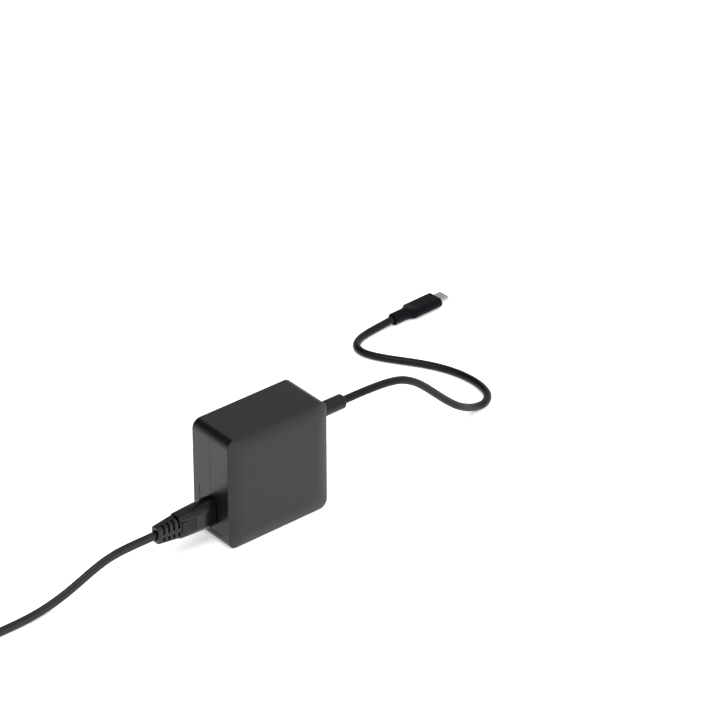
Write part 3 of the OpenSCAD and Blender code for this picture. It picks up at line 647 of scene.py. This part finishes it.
housing_plastic = surface("housing_plastic", (0.0040, 0.0040, 0.0038), 0.33, ior=1.505)
front = cover("front_shell", -1)
posts(front, front_post_start, front_post_length, front_ribs)
rear = cover("rear_shell", 1)
posts(rear, rear_post_start, rear_post_length, rear_ribs)
for piece, replaced in ((front, "front_cover"), (rear, "rear_cover")):
    smooth(piece, 28.0)
    finish(piece, housing_plastic, "adapter", "housing", replaced)


# Mains inlet: an insert of hard, glossier black plastic, held between the covers, whose
# panel closes the opening in the left wall. Two brass pins stand in its socket.
dress(surface("inlet_insert", (0.0038, 0.0038, 0.0037), 0.32, ior=1.515), "inlet_socket")
dress(brass, "inlet_pins")


# Boards: green solder resist over etched copper, on glass-fibre laminate. The copper lies in
# fields with bare gaps between them, and tinned holes join its two sides.
resist_green = (0.010, 0.085, 0.030)
field_greens = ((0.012, 0.095, 0.034, 1.0), (0.020, 0.145, 0.055, 1.0))
gap_green = (0.005, 0.045, 0.016, 1.0)
hole_tin = (0.42, 0.42, 0.40, 1.0)
field_scale = 190.0
field_gap = (0.05, 0.09)
hole_scale = 380.0
hole_edge = (0.20, 0.16)
cell_randomness = 0.8
etched_share = 0.75


def printed_board(name):
    """Solder resist that is lighter over the copper fields, with tinned holes in it."""
    material = surface(name, resist_green, 0.38, grain=1500.0, shift=0.15)
    tree = material.node_tree
    place = shader_node(tree, "TexCoord", {}).outputs["Object"]

    def cells(feature, metric, scale):
        return shader_node(tree, "TexVoronoi", {
            "Vector": place, "Scale": scale, "Randomness": cell_randomness},
            feature=feature, distance=metric)

    def layer(under, over, factor):
        return shader_node(tree, "Mix", {"A": under, "B": over, "Factor": factor},
                           data_type="RGBA").outputs["Result"]

    def between(value, low, high):
        return shader_node(tree, "MapRange", {"Value": value, "From Min": low,
                                              "From Max": high}).outputs["Result"]

    nearest = cells("F1", "CHEBYCHEV", field_scale)
    second = cells("F2", "CHEBYCHEV", field_scale)
    apart = shader_node(tree, "Math", {
        0: second.outputs["Distance"], 1: nearest.outputs["Distance"]}, operation="SUBTRACT")
    copper = layer(*field_greens, nearest.outputs["Color"])
    etched = layer(gap_green, copper, between(apart.outputs[0], *field_gap))
    coated = layer(tree.nodes["shade"].outputs["Result"], etched, etched_share)
    holes = between(cells("F1", "EUCLIDEAN", hole_scale).outputs["Distance"], *hole_edge)
    tree.links.new(layer(coated, hole_tin, holes),
                   tree.nodes["Principled BSDF"].inputs["Base Color"])
    return material


dress(printed_board("solder_resist"), "circuit_board", "control_board")


# Moulded and coated components, soldered to the boards: parts in black epoxy cases, a film
# capacitor in its yellow box, and two disc parts dipped in blue enamel.
dress(surface("moulded_epoxy", (0.020, 0.020, 0.021), 0.55, grain=2500.0, bump=0.12, shift=0.12),
      "fuse", "bridge_rectifier", "power_switch", "rectifier_switch", "control_chip")
dress(surface("disc_enamel", (0.025, 0.10, 0.36), 0.30, grain=500.0, bump=0.15, shift=0.10),
      "surge_suppressor", "safety_capacitor")
dress(surface("film_capacitor_case", (0.55, 0.37, 0.05), 0.33, grain=900.0, shift=0.08),
      "filter_capacitor")


# Wound parts: the choke has bare enamelled turns on a coated ferrite ring, and the
# transformer a winding wrapped in yellow tape between two halves of sintered ferrite.
choke_center = (-0.0185, 0.0, 0.0375)
degrees_per_turn = 9.0
tape_pitch = 1.1
ridge_bump = 0.6


def ridged(material, pitch, center=None):
    """Adds a relief of turns: rings round the Y axis through the centre point, or layers
    along Y where there is no centre. The pitch is in millimetres, or in degrees."""
    tree = material.node_tree
    place = shader_node(tree, "TexCoord", {}).outputs["Object"]
    if center:
        place = shader_node(tree, "VectorMath", {0: place, 1: center},
                            operation="SUBTRACT").outputs["Vector"]
    axes = shader_node(tree, "SeparateXYZ", {"Vector": place})
    if center:
        along = shader_node(tree, "Math", {0: axes.outputs["Z"], 1: axes.outputs["X"]},
                            operation="ARCTAN2").outputs[0]
        rate = 360.0 / pitch
    else:
        along = axes.outputs["Y"]
        rate = 2000.0 * math.pi / pitch
    turns = shader_node(tree, "Math", {0: along, 1: rate}, operation="MULTIPLY")
    wave = shader_node(tree, "Math", {0: turns.outputs[0]}, operation="SINE")
    relief = tree.nodes["relief"]
    relief.inputs["Strength"].default_value = ridge_bump
    tree.links.new(wave.outputs[0], relief.inputs["Height"])
    return material


dress(surface("sintered_ferrite", (0.030, 0.032, 0.034), 0.62, grain=1800.0, bump=0.3,
              shift=0.18), "transformer_core")
dress(surface("coated_ferrite", (0.020, 0.110, 0.060), 0.42, grain=1200.0, bump=0.15,
              shift=0.12), "choke_core")
copper_turns = surface("enamelled_copper", (0.45, 0.15, 0.05), 0.30, metallic=0.8, shift=0.15)
dress(ridged(copper_turns, degrees_per_turn, choke_center), "choke_winding")
winding_tape = surface("winding_tape", (0.60, 0.38, 0.05), 0.34, shift=0.10)
dress(ridged(winding_tape, tape_pitch), "transformer_bobbin")


# Electrolytic capacitors: drawn aluminium cans, soldered to the board. The large one has a
# dark shrink sleeve, and the two small ones are bare.
dress(surface("can_sleeve", (0.016, 0.024, 0.060), 0.26, grain=700.0, shift=0.12),
      "bulk_capacitor")
dress(surface("drawn_aluminium", (0.50, 0.51, 0.52), 0.36, metallic=1.0, grain=4000.0,
              shift=0.06, stretch=(1.0, 0.05, 1.0)), "output_capacitors")


# Heat path: rolled copper sheets spread the heat inside both covers, and soft silicone pads
# bring it to them. A sheet of fish paper lies between the rear one and its cover.
dress(surface("rolled_copper", (0.62, 0.27, 0.13), 0.34, metallic=1.0, grain=3000.0, bump=0.08,
              shift=0.12, stretch=(0.05, 1.0, 1.0)), "rear_heat_spreader", "front_heat_spreader")
dress(surface("pad_silicone", (0.28, 0.36, 0.43), 0.70, grain=1500.0, bump=0.25, shift=0.10),
      "thermal_pads")
dress(surface("fish_paper", (0.62, 0.56, 0.42), 0.75, grain=1200.0, bump=0.25, shift=0.12,
              stretch=(1.0, 1.0, 0.1)), "insulating_sheet")


# Output wires: two stranded leads in plastic, soldered to the board and led to the strain
# relief. The upper one is black and the lower one red.
red_sleeve = (0.30, 0.02, 0.02)
black_sleeve = (0.012, 0.012, 0.013, 1.0)
halfway = (0.0500, 0.0501)
wire_sleeve = surface("wire_sleeve", red_sleeve, 0.38, shift=0.12)
tree = wire_sleeve.node_tree
place = shader_node(tree, "TexCoord", {}).outputs["Object"]
height = shader_node(tree, "SeparateXYZ", {"Vector": place}).outputs["Z"]
upper = shader_node(tree, "MapRange", {"Value": height, "From Min": halfway[0],
                                       "From Max": halfway[1]})
pair = shader_node(tree, "Mix", {
    "Factor": upper.outputs["Result"], "A": tree.nodes["shade"].outputs["Result"],
    "B": black_sleeve}, data_type="RGBA")
tree.links.new(pair.outputs["Result"], tree.nodes["Principled BSDF"].inputs["Base Color"])
dress(wire_sleeve, "output_wires")


# Floor: a sheet of white paper. It lights the object as paper does, and the camera and the
# gloss see it brighter, so that it closes with the white background and keeps the shadow.
floor_size = 30.0
paper_white = 0.95
paper_seen = 1.45
seen_glow = 0.36
mirrored_glow = 0.45
bpy.ops.mesh.primitive_plane_add(size=floor_size)
floor = bpy.context.object
floor.name = "floor"
paper = bpy.data.materials.new("paper")
paper.use_nodes = True
tree = paper.node_tree
tree.nodes.remove(tree.nodes["Principled BSDF"])
rays = shader_node(tree, "LightPath", {}).outputs
paleness = shader_node(tree, "MapRange", {"Value": rays["Is Camera Ray"],
                                          "To Min": paper_white, "To Max": paper_seen})
matt = shader_node(tree, "BsdfDiffuse", {"Color": paleness.outputs["Result"]})
mirrored = shader_node(tree, "Math", {0: rays["Is Glossy Ray"], 1: rays["Is Transmission Ray"]},
                       operation="MAXIMUM")
mirrored_part = shader_node(tree, "Math", {0: mirrored.outputs[0], 1: mirrored_glow},
                            operation="MULTIPLY")
strength = shader_node(tree, "Math", {0: rays["Is Camera Ray"], 1: seen_glow,
                                      2: mirrored_part.outputs[0]}, operation="MULTIPLY_ADD")
glow = shader_node(tree, "Emission", {"Strength": strength.outputs[0]})
both = shader_node(tree, "AddShader", {0: matt.outputs["BSDF"], 1: glow.outputs["Emission"]})
tree.links.new(both.outputs["Shader"], tree.nodes["Material Output"].inputs["Surface"])
floor.data.materials.append(paper)


# Light: a large soft box overhead, in a pale room that is dark only high up at the back.
# The room's level goes by how near a direction is to that dark part.
overhead_place = (-0.35, -0.30, 1.6)
overhead_size = 1.3
overhead_watts = 11.0
dark_way = (-0.25, 0.68, 0.69)
room_levels = ((0.45, 0.85), (0.66, 0.46), (0.82, 0.42), (0.94, 0.02))
lamp = bpy.data.lights.new("overhead", "AREA")
lamp.shape = "SQUARE"
lamp.size = overhead_size
lamp.energy = overhead_watts
overhead = bpy.data.objects.new("overhead", lamp)
overhead.location = overhead_place
overhead.rotation_euler = Vector(overhead_place).to_track_quat("Z", "Y").to_euler()
bpy.context.collection.objects.link(overhead)
room = bpy.data.worlds.new("room")
room.use_nodes = True
tree = room.node_tree
way = shader_node(tree, "TexCoord", {}).outputs["Generated"]
nearness = shader_node(tree, "VectorMath", {0: way, 1: dark_way}, operation="DOT_PRODUCT")
level = shader_node(tree, "ValToRGB", {"Fac": nearness.outputs["Value"]})
for near, light in room_levels[1:-1]:
    level.color_ramp.elements.new(near)
for stop, (near, light) in zip(level.color_ramp.elements, room_levels):
    stop.position = near
    stop.color = (light, light, light, 1.0)
tree.links.new(level.outputs["Color"], tree.nodes["Background"].inputs["Color"])
bpy.context.scene.world = room
bpy.context.scene.view_settings.view_transform = "Standard"
